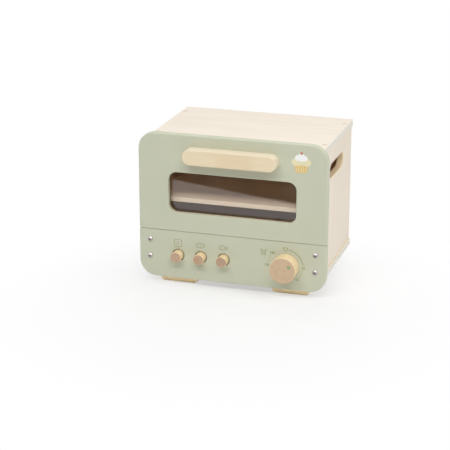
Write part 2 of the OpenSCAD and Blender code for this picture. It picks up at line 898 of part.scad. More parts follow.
module button_collar(i) color(white_plastic) on_front() {
    translate([button_xs[i], button_z, collar_z - collar_t])
        ring(button_r + collar_w, button_r, collar_t);
}

// One ring of the spring's wire: its points at the angle a along the coil
function wire_ring(a, rise) = [
    for (s = [0 : coil_sides - 1])
        let (
            out = [cos(a), sin(a), 0],
            along = [-sin(a), cos(a), rise],
            across = cross(along / norm(along), out),
            turn = 360 * s / coil_sides
        )
        coil_r * out + [0, 0, coil_r * rise * a * PI / 180]
            + wire_r * (cos(turn) * out + sin(turn) * across)
];

// A coil of round wire about the z axis, from z = 0 up
module coil(l) {
    rings = coil_turns * coil_rings;
    rise = (l - 2 * wire_r) / (2 * PI * coil_r * coil_turns);
    points = [for (k = [0 : rings]) each wire_ring(360 * k / coil_rings, rise)];
    last = rings * coil_sides;
    walls = [
        for (k = [0 : rings - 1], s = [0 : coil_sides - 1])
            let (
                a = k * coil_sides + s,
                b = k * coil_sides + (s + 1) % coil_sides
            )
            each [[a, b, b + coil_sides], [a, b + coil_sides, a + coil_sides]]
    ];
    ends = [
        for (s = [1 : coil_sides - 2])
            each [[0, s + 1, s], [last, last + s, last + s + 1]]
    ];
    translate([0, 0, wire_r]) polyhedron(points, concat(walls, ends));
}

module button_spring(i) color(steel) on_front() {
    translate([button_xs[i], button_z, guide_z + slide_gap]) coil(spring_l - 2 * slide_gap);
}

// Places things at the four screws of the guide board
module at_guide_screws() {
    for (x = [button_xs[0] - guide_side - guide_block_w / 2,
              button_xs[2] + guide_side + guide_block_w / 2], y = [-1, 1])
        translate([x, button_z + y * (guide_h / 2 - guide_screw_in), 0]) children();
}

module guide_blocks() color(beech) on_front() {
    difference() {
        for (x = [button_xs[0] - guide_side - guide_block_w, button_xs[2] + guide_side])
            translate([x, button_z - guide_h / 2, guide_z])
                cube([guide_block_w, guide_h, -front_t - guide_z]);
        at_guide_screws() translate([0, 0, guide_z - over])
            cylinder(r = guide_screw_r + fit, h = guide_screw_l - guide_t + over + fit);
    }
}

module guide_board() color(ply_inside) on_front() {
    x0 = button_xs[0] - guide_side - guide_block_w;
    x1 = button_xs[2] + guide_side + guide_block_w;
    difference() {
        translate([x0, button_z - guide_h / 2, guide_z - guide_t])
            cube([x1 - x0, guide_h, guide_t]);
        for (x = button_xs) translate([x, button_z, guide_z - guide_t - over])
            cylinder(r = spigot_r + slide_gap, h = guide_t + 2 * over);
        at_guide_screws() translate([0, 0, guide_z - guide_t - over])
            cylinder(r = guide_screw_r + fit, h = guide_t + 2 * over);
    }
}

module guide_screws() color(steel) on_front() {
    at_guide_screws() translate([0, 0, guide_z - guide_t]) mirror([0, 0, 1])
        pan_screw(guide_head_r, guide_head_h, guide_screw_r, guide_screw_l);
}

// ---------------------------------------------------------------- dial

module at_dial() on_front() translate([dial_x, dial_z, 0]) children();

module dial() color(beech) at_dial() {
    difference() {
        translate([0, 0, dial_gap]) rounded_bar(dial_r, dial_l, dial_edge_r);
        translate([0, 0, dial_gap - over]) cylinder(r = spindle_r, h = spindle_in + over);
    }
}

module dial_spindle() color(steel) at_dial() {
    translate([0, 0, spindle_end]) cylinder(r = spindle_r, h = dial_gap + spindle_in - spindle_end);
}

module dial_bush() color(white_plastic) at_dial() {
    difference() {
        union() {
            translate([0, 0, -front_t]) cylinder(r = bush_r, h = front_t);
            translate([0, 0, -front_t - bush_flange_t])
                cylinder(r = bush_flange_r, h = bush_flange_t);
        }
        translate([0, 0, -front_t - bush_flange_t - over])
            cylinder(r = spindle_r + run_fit, h = front_t + bush_flange_t + 2 * over);
    }
}

module dial_felt_washer() color(felt) at_dial() {
    ring(felt_r, spindle_r + 2 * fit, felt_t);
}

module dial_back_washer() color(steel) at_dial() {
    translate([0, 0, washer_z - washer_t]) ring(washer_r, spindle_r, washer_t);
}

module dial_nut() color(steel) at_dial() {
    translate([0, 0, washer_z - washer_t - nut_h]) difference() {
        cylinder(r = nut_flats / sqrt(3), h = nut_h, $fn = 6);
        translate([0, 0, -over]) cylinder(r = spindle_r, h = nut_h + 2 * over);
    }
}

// ---------------------------------------------------------------- the pieces

bottom_board();
top_board();
left_side_panel();
right_side_panel();
back_panel();
bay_cover();
shelf();
left_shelf_rail();
right_shelf_rail();
left_shelf_strip();
right_shelf_strip();
rail_screws();
foot(-1, 0);  // front_left_foot
foot(1, 0);  // front_right_foot
foot(-1, 1);  // rear_left_foot
foot(1, 1);  // rear_right_foot
foot_screws();
bottom_board_screws();
top_board_screws();
top_board_plugs();
control_panel();
control_panel_screws();
door_magnets();
left_hinge_plate();
right_hinge_plate();
hinge_plate_screws();
guide_blocks();
guide_board();
guide_screws();
button_spring(0);  // left_button_spring
button_spring(1);  // middle_button_spring
button_spring(2);  // right_button_spring
dial_bush();
dial_felt_washer();
door_panel();
window_pane();
pane_screws();
door_handle();
handle_screws();
hinge_pins();
pin_plugs();
strike_plates();
button(0);  // left_button
button_collar(0);  // left_button_collar
button(1);  // middle_button
button_collar(1);  // middle_button_collar
button(2);  // right_button
button_collar(2);  // right_button_collar
dial();
dial_spindle();
dial_back_washer();
dial_nut();
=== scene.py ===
"""Looks of the wooden toy oven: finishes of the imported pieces, the prints on its front,
a plain pale floor, soft light and the camera. Lengths are in metres unless a name says mm."""

import math

import bmesh
import bpy
from mathutils import Matrix, Vector


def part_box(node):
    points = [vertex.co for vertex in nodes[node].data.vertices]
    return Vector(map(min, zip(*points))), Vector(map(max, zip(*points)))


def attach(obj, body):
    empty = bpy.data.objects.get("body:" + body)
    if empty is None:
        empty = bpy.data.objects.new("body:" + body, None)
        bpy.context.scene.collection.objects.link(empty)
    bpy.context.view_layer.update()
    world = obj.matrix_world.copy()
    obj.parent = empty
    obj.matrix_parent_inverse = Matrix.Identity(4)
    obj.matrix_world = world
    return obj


MM = 0.001
X, Y, Z = 0, 1, 2

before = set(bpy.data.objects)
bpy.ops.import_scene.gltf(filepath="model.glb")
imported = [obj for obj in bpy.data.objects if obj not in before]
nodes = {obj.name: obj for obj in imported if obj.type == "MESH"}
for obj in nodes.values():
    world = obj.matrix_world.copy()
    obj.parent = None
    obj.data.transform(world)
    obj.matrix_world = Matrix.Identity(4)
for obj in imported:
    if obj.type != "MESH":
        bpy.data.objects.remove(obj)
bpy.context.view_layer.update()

# The front panels: their front face, the control panel's foot and the front's middle height
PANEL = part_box("control_panel")
FRONT_Y = PANEL[0].y
FRONT_Z = PANEL[0].z
# The outer faces of the box's side panels, less a hair
BOX_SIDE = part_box("right_side_panel")[1].x - 0.2 * MM


# ---------------------------------------------------------------- colours and nodes


def srgb(red, green, blue):
    """A colour written as it shows on screen, from 0 to 255, as Blender's linear colour."""
    channels = [c / 255 for c in (red, green, blue)]
    linear = [c / 12.92 if c <= 0.04045 else ((c + 0.055) / 1.055) ** 2.4 for c in channels]
    return (*linear, 1.0)


class Surface:
    """A material and the nodes that it is made of."""

    def __init__(self, name):
        self.material = bpy.data.materials.new(name)
        self.material.use_nodes = True
        self.tree = self.material.node_tree
        self.tree.nodes.clear()
        self.place = self.node("ShaderNodeTexCoord")
        self.parts = self.node("ShaderNodeSeparateXYZ", {0: self.place.outputs["Object"]})
        self.facing = self.node("ShaderNodeSeparateXYZ", {0: self.place.outputs["Normal"]})

    def node(self, kind, inputs=None, **settings):
        """A new node. Its inputs are values or the outputs of other nodes."""
        made = self.tree.nodes.new(kind)
        for key, value in settings.items():
            setattr(made, key, value)
        for key, value in (inputs or {}).items():
            self.put(made.inputs[key], value)
        return made

    def put(self, socket, value):
        if isinstance(value, bpy.types.NodeSocket):
            self.tree.links.new(value, socket)
        else:
            socket.default_value = value

    def math(self, operation, *values):
        made = self.node("ShaderNodeMath", operation=operation)
        for socket, value in zip(made.inputs, values):
            self.put(socket, value)
        return made.outputs[0]

    def mix(self, share, first, second):
        """The first colour, with a share of the second mixed in."""
        made = self.node("ShaderNodeMix", data_type="RGBA")
        for index, value in ((0, share), (6, first), (7, second)):
            self.put(made.inputs[index], value)
        return made.outputs[2]

    def distance(self, first, second):
        made = self.node("ShaderNodeVectorMath", {0: first, 1: second}, operation="DISTANCE")
        return made.outputs["Value"]

    def between(self, value, low, high, to_low=0.0, to_high=1.0):
        """value, eased from to_low at low to to_high at high."""
        made = self.node(
            "ShaderNodeMapRange",
            {
                "Value": value,
                "From Min": low,
                "From Max": high,
                "To Min": to_low,
                "To Max": to_high,
            },
            interpolation_type="SMOOTHSTEP",
        )
        return made.outputs[0]

    def noise(self, sizes_mm, detail=3.0, shift=0.0, rough=0.5, warp=0.0):
        """Noise from 0 to 1 whose blotches are about sizes_mm across along X, Y and Z."""
        scale = [1 / (size * MM) for size in sizes_mm]
        mapped = self.node(
            "ShaderNodeMapping",
            {"Vector": self.place.outputs["Object"], "Scale": scale, "Location": (shift,) * 3},
        )
        made = self.node(
            "ShaderNodeTexNoise",
            {
                "Vector": mapped.outputs[0],
                "Scale": 1.0,
                "Detail": detail,
                "Roughness": rough,
                "Distortion": warp,
            },
        )
        return made.outputs[0]

    def faces(self, axis):
        """1 on faces square to an axis, 0 on the others, with a soft change on roundings."""
        return self.between(self.math("ABSOLUTE", self.facing.outputs[axis]), 0.75, 0.9)

    def bump(self, height, depth_mm, strength):
        """A normal that follows a height from 0 to 1 over a depth."""
        made = self.node(
            "ShaderNodeBump",
            {"Height": height, "Distance": depth_mm * MM, "Strength": strength},
        )
        return made.outputs[0]

    def shade(self, shader):
        """Makes a shader the material's surface, and returns the material."""
        output = self.node("ShaderNodeOutputMaterial")
        self.tree.links.new(shader, output.inputs["Surface"])
        return self.material

    def principled(self, **inputs):
        """The material, with a principled shader whose inputs are given like base_color."""
        keys = {key.replace("_", " ").title(): value for key, value in inputs.items()}
        return self.shade(self.node("ShaderNodeBsdfPrincipled", keys).outputs[0])


# ---------------------------------------------------------------- woods

# Pairs of tones, light and dark, between which the grain or the plies change
VENEER = (srgb(248, 238, 222), srgb(245, 233, 217))
SIDE = (srgb(246, 234, 216), srgb(243, 230, 210))
RAW = (srgb(220, 182, 128), srgb(204, 162, 106))
PLY_EDGE = (srgb(242, 238, 226), srgb(236, 229, 212))
SHELF_EDGE = (srgb(252, 246, 233), srgb(247, 238, 221))
SIDE_EDGE = (srgb(248, 230, 196), srgb(242, 218, 178))
BEECH = (srgb(243, 227, 196), srgb(240, 221, 188))
BEECH_END = (srgb(218, 191, 158), srgb(206, 176, 143))
PLUG = (srgb(237, 221, 200), srgb(226, 207, 184))
FOOT = (srgb(255, 234, 192), srgb(250, 222, 176))
DOWEL = (srgb(244, 221, 178), srgb(240, 213, 168))
DOWEL_ENDS = {
    "left_button": (srgb(208, 178, 150), srgb(188, 157, 130)),
    "middle_button": (srgb(205, 173, 144), srgb(185, 152, 124)),
    "right_button": (srgb(198, 166, 140), srgb(178, 146, 120)),
}
HANDLE_RIM = (srgb(234, 221, 197), srgb(230, 215, 189))
HANDLE_FACE = (srgb(241, 225, 191), srgb(238, 219, 184))

# The darker stretch of the handle's face: its tone, its middle along X and where it fades
HEART_TONE = srgb(236, 215, 180)
HEART_X = 8 * MM
HEART_REACH = (18 * MM, 34 * MM)

# A veneer's thickness, and how wide and how strong the growth rings are on end faces
PLY = 10 / 7 * MM
RING_SPACING = 1.6 * MM
RING_STRENGTH = 0.07


def sizes(axis, along, across):
    """Blotch sizes that are long along one axis and small across it."""
    return [along if i == axis else across for i in (X, Y, Z)]


def plywood(name, grain, thick, tones=VENEER, edges=PLY_EDGE, inside=None):
    """Lacquered plywood: veneer with its grain along one axis, and plies across the axis
    thick on its edges. inside is the sign of that axis on the side that has no lacquer."""
    s = Surface(f"plywood_{name}")
    streaks = s.noise(sizes(grain, 150, 7), detail=4, warp=0.6)
    clouds = s.noise(sizes(grain, 90, 30), detail=2, shift=7.3)
    fibres = s.noise(sizes(grain, 9, 0.35), detail=2, shift=3.1)
    tone = s.math("ADD", s.math("MULTIPLY", streaks, 0.65), s.math("MULTIPLY", clouds, 0.35))
    veneer = s.mix(s.between(tone, 0.36, 0.66), *tones)
    veneer = s.mix(s.between(fibres, 0.62, 0.85, 0.0, 0.22), veneer, tones[1])
    depth = s.math("SUBTRACT", s.parts.outputs[thick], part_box(name)[0][thick])
    layer = s.math("PINGPONG", s.math("MULTIPLY", depth, 1 / PLY), 1.0)
    edge_fibres = s.noise((3, 3, 0.6) if thick == Z else (0.6, 3, 3), detail=3, shift=1.7)
    stripes = s.between(s.math("ADD", layer, s.math("MULTIPLY", edge_fibres, 0.3)), 0.5, 0.8)
    edge = s.mix(stripes, *edges)
    if inside is not None:
        raw = s.mix(s.between(tone, 0.36, 0.66), *RAW)
        within = s.math("LESS_THAN", s.math("ABSOLUTE", s.parts.outputs[X]), BOX_SIDE)
        inner = s.math("COMPARE", s.facing.outputs[thick], inside, 0.5)
        veneer = s.mix(inner, veneer, s.mix(within, SIDE_EDGE[1], raw))
    face = s.faces(thick)
    return s.principled(
        base_color=s.mix(face, edge, veneer),
        roughness=s.between(tone, 0.3, 0.7, 0.42, 0.55),
        normal=s.bump(fibres, 0.04, 0.5),
    )


def solid_wood(name, grain, sides=BEECH, ends=BEECH_END, centre=None, face=None):
    """Lacquered solid wood: flecked along the grain, with pores on its end faces.
    sides, ends and face are pairs of colours, the last for the handle's front with its
    darker stretch, and centre is a point on the tree's heart, for rings on the ends."""
    s = Surface(name)
    streaks = s.noise(sizes(grain, 70, 4), detail=4, warp=0.4)
    flecks = s.noise(sizes(grain, 5, 0.45), detail=2, shift=5.2)
    side = s.mix(s.between(streaks, 0.35, 0.68), *sides)
    if face is not None:
        front = s.mix(s.between(streaks, 0.35, 0.68), *face)
        away = s.math("ABSOLUTE", s.math("SUBTRACT", s.parts.outputs[X], HEART_X))
        front = s.mix(s.between(away, *HEART_REACH, 0.8, 0.0), front, HEART_TONE)
        side = s.mix(s.faces(Y), side, front)
    side = s.mix(s.between(flecks, 0.6, 0.8, 0.0, 0.35), side, sides[1])
    pores = s.noise((0.5, 0.5, 0.5), detail=3, shift=2.4, rough=0.6)
    blotches = s.noise((6, 6, 6), detail=2, shift=9.1)
    end_tone = s.math("ADD", s.math("MULTIPLY", pores, 0.6), s.math("MULTIPLY", blotches, 0.4))
    if centre is not None:
        end_tone = s.math("ADD", s.math("MULTIPLY", end_tone, 0.93), rings(s, grain, centre))
    end = s.mix(s.between(end_tone, 0.36, 0.62), *ends)
    height = s.mix(s.faces(grain), flecks, pores)
    return s.principled(
        base_color=s.mix(s.faces(grain), side, end),
        roughness=s.between(streaks, 0.3, 0.7, 0.45, 0.58),
        normal=s.bump(height, 0.05, 0.5),
    )


def rings(s, grain, centre):
    """Faint growth rings round a line along the grain, as a value up to RING_STRENGTH."""
    squares = []
    for axis in (X, Y, Z):
        if axis != grain:
            away = s.math("SUBTRACT", s.parts.outputs[axis], centre[axis])
            squares.append(s.math("MULTIPLY", away, away))
    distance = s.math("SQRT", s.math("ADD", *squares))
    wobble = s.math("MULTIPLY", s.noise((9, 9, 9), detail=2, shift=4.4), 1.4)
    turns = s.math("ADD", s.math("MULTIPLY", distance, 1 / RING_SPACING), wobble)
    return s.math("MULTIPLY", s.math("PINGPONG", turns, 1.0), RING_STRENGTH)


# ---------------------------------------------------------------- paint, acrylic, metal

SAGE = (srgb(205, 207, 184), srgb(203, 206, 182))
SMOKE = srgb(253, 250, 246)

# What the pane mirrors: more than plain acrylic does, and a little warmer
PANE_IOR = 2.0
MIRROR_TINT = (1.0, 0.92, 0.9, 1.0)

# Painted shade for narrow hollows of metal, such as a screw's recess, laid on by ambient
# occlusion: its tone, and how near the hollow's walls are
RECESS_PAINTED_SHADE = srgb(70, 64, 64)
RECESS_REACH = 1.2 * MM

# Bare walls, in a bare-wood tone darker than raw wood as painted shade: their tone, how far past a
# button's side its hole may reach, and how deep the paint goes into the window
BARE_WALL_AND_SHADE = srgb(128, 98, 70)
HOLE_REACH = 1.6 * MM
PAINT_DEPTH = 6.5 * MM


def sage_paint():
    """Matt paint, rolled on: a faint mottle and a fine orange-peel texture, with its bare walls
    darkened as painted shade.
    """
    s = Surface("sage_paint")
    mottle = s.noise((38, 38, 38), detail=3)
    peel = s.noise((0.9, 0.9, 0.9), detail=2, shift=2.0)
    colour = s.mix(s.between(mottle, 0.35, 0.65), *SAGE)
    return s.principled(
        # hole walls and the window's deep reveal take bare wood, darkened as painted shade
        base_color=s.mix(bare_and_shaded_walls(s), colour, BARE_WALL_AND_SHADE),
        roughness=s.between(mottle, 0.3, 0.7, 0.48, 0.58),
        normal=s.bump(peel, 0.03, 0.35),
    )


def bare_and_shaded_walls(s):
    """1 on the walls of the push buttons' holes and deep in the window, where a dark bare-wood
    tone paints their shade, 0 on the rest.
    """
    flat = s.node(
        "ShaderNodeVectorMath",
        {0: s.place.outputs["Object"], 1: (1, 0, 1)},
        operation="MULTIPLY",
    )
    holes = 0.0
    for name in DOWEL_ENDS:
        low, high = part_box(name)
        away = s.distance(flat.outputs[0], ((low.x + high.x) / 2, 0, (low.z + high.z) / 2))
        near = s.math("LESS_THAN", away, (high.x - low.x) / 2 + HOLE_REACH)
        holes = s.math("MAXIMUM", near, holes)
    low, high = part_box("window_pane")
    window = s.math("GREATER_THAN", s.parts.outputs[Y], FRONT_Y + PAINT_DEPTH)
    for limit in (
        s.math("LESS_THAN", s.math("ABSOLUTE", s.parts.outputs[X]), high.x),
        s.math("GREATER_THAN", s.parts.outputs[Z], low.z),
        s.math("LESS_THAN", s.parts.outputs[Z], high.z),
    ):
        window = s.math("MULTIPLY", window, limit)
    wall = s.math("LESS_THAN", s.math("ABSOLUTE", s.facing.outputs[Y]), 0.5)
    return s.math("MULTIPLY", s.math("MAXIMUM", holes, window), wall)


def smoked_acrylic():
    """Clear brown acrylic: it tints what is behind it and mirrors the room faintly."""
    s = Surface("smoked_acrylic")
    haze = s.noise((24, 24, 24), detail=3)
    mirror = s.node(
        "ShaderNodeBsdfGlossy",
        {"Color": MIRROR_TINT, "Roughness": s.between(haze, 0.3, 0.7, 0.02, 0.05)},
    )
    clear = s.node("ShaderNodeBsdfTransparent", {"Color": SMOKE})
    share = s.node("ShaderNodeFresnel", {"IOR": PANE_IOR})
    outside = s.math("SUBTRACT", 1.0, s.node("ShaderNodeNewGeometry").outputs["Backfacing"])
    share = s.math("MULTIPLY", share.outputs[0], outside)
    mixed = s.node(
        "ShaderNodeMixShader",
        {0: share, 1: clear.outputs[0], 2: mirror.outputs[0]},
    )
    return s.shade(mixed.outputs[0])


def metal(name, colour, roughness):
    """Plated or turned steel with fine marks of its making, and painted shade darkening its
    hollows.
    """
    s = Surface(name)
    marks = s.noise((0.4, 0.4, 6), detail=3)
    tarnish = s.noise((2.5, 2.5, 2.5), detail=2, shift=6.6)
    darker = tuple(0.82 * c for c in colour[:3]) + (1.0,)
    openness = s.node("ShaderNodeAmbientOcclusion", {"Distance": RECESS_REACH}, samples=8)
    worn = s.mix(s.between(tarnish, 0.4, 0.7), colour, darker)
    return s.principled(
        # hollows that ambient occlusion finds are painted darker, as shade
        base_color=s.mix(s.between(openness.outputs["AO"], 0.45, 0.95), RECESS_PAINTED_SHADE, worn),
        metallic=1.0,
        roughness=s.between(marks, 0.3, 0.7, roughness * 0.8, roughness * 1.25),
        normal=s.bump(marks, 0.01, 0.3),
    )


def plain(name, colour, roughness, blotch_mm, depth_mm, contrast=0.96):
    """A matt surface with a slight mottle and texture, such as moulded nylon, felt or print."""
    s = Surface(name)
    mottle = s.noise((blotch_mm,) * 3, detail=3)
    darker = tuple(contrast * c for c in colour[:3]) + (1.0,)
    return s.principled(
        base_color=s.mix(s.between(mottle, 0.35, 0.65), colour, darker),
        roughness=roughness,
        normal=s.bump(mottle, depth_mm, 0.4),
    )


def dress(names, material):
    """Gives a material to every slot of the named CAD nodes."""
    for name in names:
        for slot in nodes[name].material_slots:
            slot.material = material


def ending(*endings):
    """Names of the CAD nodes that end in one of these."""
    return [name for name in nodes if name.endswith(endings)]


def dress_all():
    """Every CAD node gets its finish."""
    dress(["bottom_board"], plywood("bottom_board", X, Z, inside=1))
    dress(["top_board"], plywood("top_board", X, Z, inside=-1))
    dress(["shelf"], plywood("shelf", X, Z, edges=SHELF_EDGE))
    dress(["left_side_panel"], plywood("left_side_panel", Z, X, SIDE, SIDE_EDGE, inside=1))
    dress(["right_side_panel"], plywood("right_side_panel", Z, X, SIDE, SIDE_EDGE, inside=-1))
    dress(["back_panel"], plywood("back_panel", X, Y, inside=-1))
    dress(["bay_cover"], plywood("bay_cover", X, Z, RAW))
    dress(["guide_board"], plywood("guide_board", X, Y, RAW))
    dress(ending("_foot"), solid_wood("beech_foot", X, FOOT, FOOT))
    dress(["door_handle"], solid_wood("beech_handle", X, HANDLE_RIM, HANDLE_RIM, face=HANDLE_FACE))
    dress(ending("_shelf_rail", "_shelf_strip"), solid_wood("beech_along_y", Y))
    dress(["guide_blocks"], solid_wood("beech_along_z", Z))
    dress(["top_board_plugs"], solid_wood("beech_plugs", Z, ends=PLUG))
    for name, ends in {**DOWEL_ENDS, "dial": BEECH_END}.items():
        low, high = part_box(name)
        centre = Vector((low.x + 0.3 * (high.x - low.x), 0, low.z - 0.4 * (high.z - low.z)))
        dress([name], solid_wood(f"beech_{name}", Y, DOWEL, ends, centre))
    dress(["control_panel", "door_panel", "pin_plugs"], sage_paint())
    dress(["window_pane"], smoked_acrylic())
    dress(ending("_screws"), metal("zinc_screws", srgb(198, 190, 188), 0.45))
    hinges = ending("_hinge_plate", "hinge_pins")
    dress(hinges, metal("hinge_steel", srgb(205, 205, 205), 0.35))
    dress(["door_magnets", "strike_plates"], metal("nickel", srgb(196, 194, 190), 0.2))
    dress(ending("_spring"), metal("spring_wire", srgb(190, 190, 190), 0.3))
    turned = ["dial_spindle", "dial_back_washer", "dial_nut"]
    dress(turned, metal("spindle_steel", srgb(205, 204, 202), 0.28))
    nylon = plain("white_nylon", srgb(232, 231, 226), 0.45, 3, 0.02)
    dress(ending("_bush", "_collar"), nylon)
    dress(["dial_felt_washer"], plain("felt", srgb(150, 150, 138), 0.95, 0.6, 0.2, contrast=0.7))


# ---------------------------------------------------------------- flat prints


def front_point(x_mm, up_mm, out_mm=0.0):
    """A point on the front, up_mm above the control panel's lower edge."""
    return Vector((x_mm * MM, FRONT_Y - out_mm * MM, FRONT_Z + up_mm * MM))


class Print:
    """Thin closed plates of ink on the front, joined into one piece."""

    def __init__(self, name, ink, thick_mm=0.1, lift_mm=0.0):
        self.name, self.ink = name, ink
        self.thick_mm, self.lift_mm = thick_mm, lift_mm
        self.bm = bmesh.new()

    def plate(self, outline):
        """A filled shape: outline is a list of (x, up) in mm, anticlockwise."""
        out = self.lift_mm + self.thick_mm
        near = [self.bm.verts.new(front_point(x, up, out)) for x, up in outline]
        far = [self.bm.verts.new(front_point(x, up, self.lift_mm)) for x, up in outline]
        self.bm.faces.new(near)
        self.bm.faces.new(far[::-1])
        count = len(outline)
        for i in range(count):
            j = (i + 1) % count
            self.bm.faces.new((near[j], near[i], far[i], far[j]))

    def line(self, path, width_mm, closed=False):
        """A stroke of even width along a path of (x, up) points in mm."""
        left, right = [], []
        count = len(path)
        for i, point in enumerate(path):
            before = path[i - 1] if i or closed else path[i]
            after = path[(i + 1) % count] if i + 1 < count or closed else path[i]
            along = Vector((after[0] - before[0], after[1] - before[1])).normalized()
            side = Vector((-along.y, along.x)) * width_mm / 2
            left.append((point[0] + side.x, point[1] + side.y))
            right.append((point[0] - side.x, point[1] - side.y))
        if not closed:
            self.plate(right + left[::-1])
            return
        self.ring(right, left)

    def ring(self, outer, inner):
        """The band between two outlines that have as many points."""
        low = self.lift_mm
        out = low + self.thick_mm
        rows = [
            [self.bm.verts.new(front_point(x, up, level)) for x, up in edge]
            for edge, level in ((inner, out), (outer, out), (outer, low), (inner, low))
        ]
        count = len(outer)
        for i in range(count):
            j = (i + 1) % count
            for a, b in ((0, 1), (1, 2), (2, 3), (3, 0)):
                self.bm.faces.new((rows[a][i], rows[b][i], rows[b][j], rows[a][j]))

    def done(self, body):
        """Makes the plates a piece that rides a body."""
        bmesh.ops.recalc_face_normals(self.bm, faces=self.bm.faces)
        mesh = bpy.data.meshes.new(self.name)
        self.bm.to_mesh(mesh)
        self.bm.free()
        piece = bpy.data.objects.new(self.name, mesh)
        bpy.context.scene.collection.objects.link(piece)
        mesh.materials.append(self.ink)
        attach(piece, body)


def arc(x, up, radius, start, end, steps=24):
    """Points on a circle from one angle to another, in degrees from +x."""
    angles = [math.radians(start + (end - start) * i / steps) for i in range(steps + 1)]
    return [(x + radius * math.cos(a), up + radius * math.sin(a)) for a in angles]


def disc(x, up, radius, steps=24):
    """Outline of a circle, anticlockwise."""
    return arc(x, up, radius, 0, 360, steps)[:-1]


def oval(x, up, half_width, half_height):
    """Outline of an ellipse, anticlockwise."""
    points = arc(x, up, 1, 0, 360, 28)
    return [(x + (px - x) * half_width, up + (py - up) * half_height) for px, py in points]


def rounded_box(x, up, width, height, radius):
    """Outline of a rounded rectangle about (x, up), anticlockwise."""
    outline = []
    for turn, (sx, sy) in enumerate(((1, 1), (-1, 1), (-1, -1), (1, -1))):
        corner_x = x + sx * (width / 2 - radius)
        corner_up = up + sy * (height / 2 - radius)
        outline += arc(corner_x, corner_up, radius, 90 * turn, 90 * turn + 90, 8)
    return outline


def make_button_marks(ink):
    """Three plain signs over the buttons: a slice of toast, a loaf and a fish."""
    marks = Print("button_marks", ink)
    stroke = 0.75
    marks.line(rounded_box(-81.5, 54.2, 11.0, 11.0, 2.2), 0.65, closed=True)
    for up in (52.4, 54.2, 56.0):
        marks.line([(-83.0, up - 0.4), (-80.0, up + 0.4)], 0.4)
    marks.line(rounded_box(-47.0, 54.0, 12.6, 7.0, 3.4), stroke, closed=True)
    for x in (-50.0, -47.0, -44.0):
        marks.line([(x - 0.8, 52.4), (x + 0.8, 55.6)], 0.7)
    marks.line(oval(-14.0, 54.0, 4.8, 3.4), stroke, closed=True)
    marks.line([(-9.6, 54.0), (-5.6, 56.6), (-6.6, 54.0), (-5.6, 51.4)], stroke, closed=True)
    marks.line(arc(-17.2, 54.0, 2.6, -42, 42, 8), 0.7)
    marks.done("root")


# In mm on the front: the dial's middle, and the marks printed round it
DIAL_X, DIAL_UP = 81.4, 35.5
SWEEP_X, SWEEP_RADIUS = 80.8, 26.0
DOTS = ((58.5, 49.5), (56.9, 45.4), (55.7, 40.8), (106.0, 30.2), (104.4, 25.7), (101.8, 21.4))
NUMBERS = (("180", 61.0, 54.3), ("150", 53.0, 35.4), ("30", 107.0, 35.4), ("60", 98.5, 17.0))
CLOCK_X, CLOCK_UP = 48.0, 53.6

# The spot on the dial: how far from its middle, and the angle from +x
INDEX_AWAY, INDEX_TURN = 11.3, math.radians(34)

# The numbers' height in mm, and a digit's height as a share of the type size
NUMBER_HEIGHT, DIGIT_HEIGHT = 3.6, 0.7


def make_dial_marks(ink):
    """The marks round the dial: a clock, a heart, dots and a sweep."""
    marks = Print("dial_marks", ink)
    stroke = 0.9
    x, up = CLOCK_X, CLOCK_UP
    marks.line(disc(x, up, 3.0), stroke, closed=True)
    marks.line([(x, up + 1.6), (x, up), (x + 1.3, up - 0.6)], 0.7)
    for side in (-1, 1):
        tilt = 90 - side * 30
        marks.line(arc(x + side * 3.0, up + 3.4, 1.3, tilt - 70, tilt + 70, 8), stroke)
        marks.line([(x + side * 2.1, up - 2.6), (x + side * 2.9, up - 3.7)], stroke)
    marks.ring(heart(80.5, 61.4, 3.9), heart(80.5, 61.5, 2.8))
    marks.line(arc(SWEEP_X, DIAL_UP, SWEEP_RADIUS, 79, 9, 30), 1.0)
    for x, up in DOTS:
        marks.plate(disc(x, up, 0.7, 12))
    marks.done("root")


def heart(x, up, half):
    """Outline of a heart about (x, up)."""
    outline = []
    for i in range(36):
        a = 2 * math.pi * i / 36
        px = 16 * math.sin(a) ** 3
        py = 13 * math.cos(a) - 5 * math.cos(2 * a) - 2 * math.cos(3 * a) - math.cos(4 * a)
        outline.append((x + half * px / 16, up + half * py / 16))
    return outline


def make_number(text, x, up, ink):
    """A plain number on the control panel, as thin raised ink."""
    half_thick_mm = 0.05
    letters = bpy.data.curves.new(f"number_{text}", "FONT")
    letters.body = text
    letters.size = NUMBER_HEIGHT * MM / DIGIT_HEIGHT
    letters.extrude = half_thick_mm * MM
    letters.offset = 0.1 * MM
    letters.align_x, letters.align_y = "CENTER", "CENTER"
    letters.space_character = 0.95
    shape = bpy.data.objects.new(f"number_{text}_shape", letters)
    bpy.context.scene.collection.objects.link(shape)
    bpy.context.view_layer.update()
    solid = shape.evaluated_get(bpy.context.evaluated_depsgraph_get())
    mesh = bpy.data.meshes.new_from_object(solid)
    bpy.data.objects.remove(shape)
    mesh.name = f"number_{text}"
    upright = Matrix.Rotation(math.pi / 2, 4, "X")
    mesh.transform(Matrix.Translation(front_point(x, up, half_thick_mm)) @ upright)
    mesh.materials.clear()
    mesh.materials.append(ink)
    piece = bpy.data.objects.new(f"number_{text}", mesh)
    bpy.context.scene.collection.objects.link(piece)
    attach(piece, "root")


def make_dial_dot():
    """The green index spot on the dial's face."""
    face_mm = (FRONT_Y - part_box("dial")[0].y) / MM
    green = plain("dot_green", srgb(148, 174, 118), 0.5, 1.5, 0.01)
    dot = Print("dial_dot", green, lift_mm=face_mm)
    x = DIAL_X + INDEX_AWAY * math.cos(INDEX_TURN)
    up = DIAL_UP + INDEX_AWAY * math.sin(INDEX_TURN)
    dot.plate(disc(x, up, 2.6, 32))
    dot.done("dial")


# The motif's middle, in mm on the front
MOTIF_X, MOTIF_UP = 101.5, 191.0


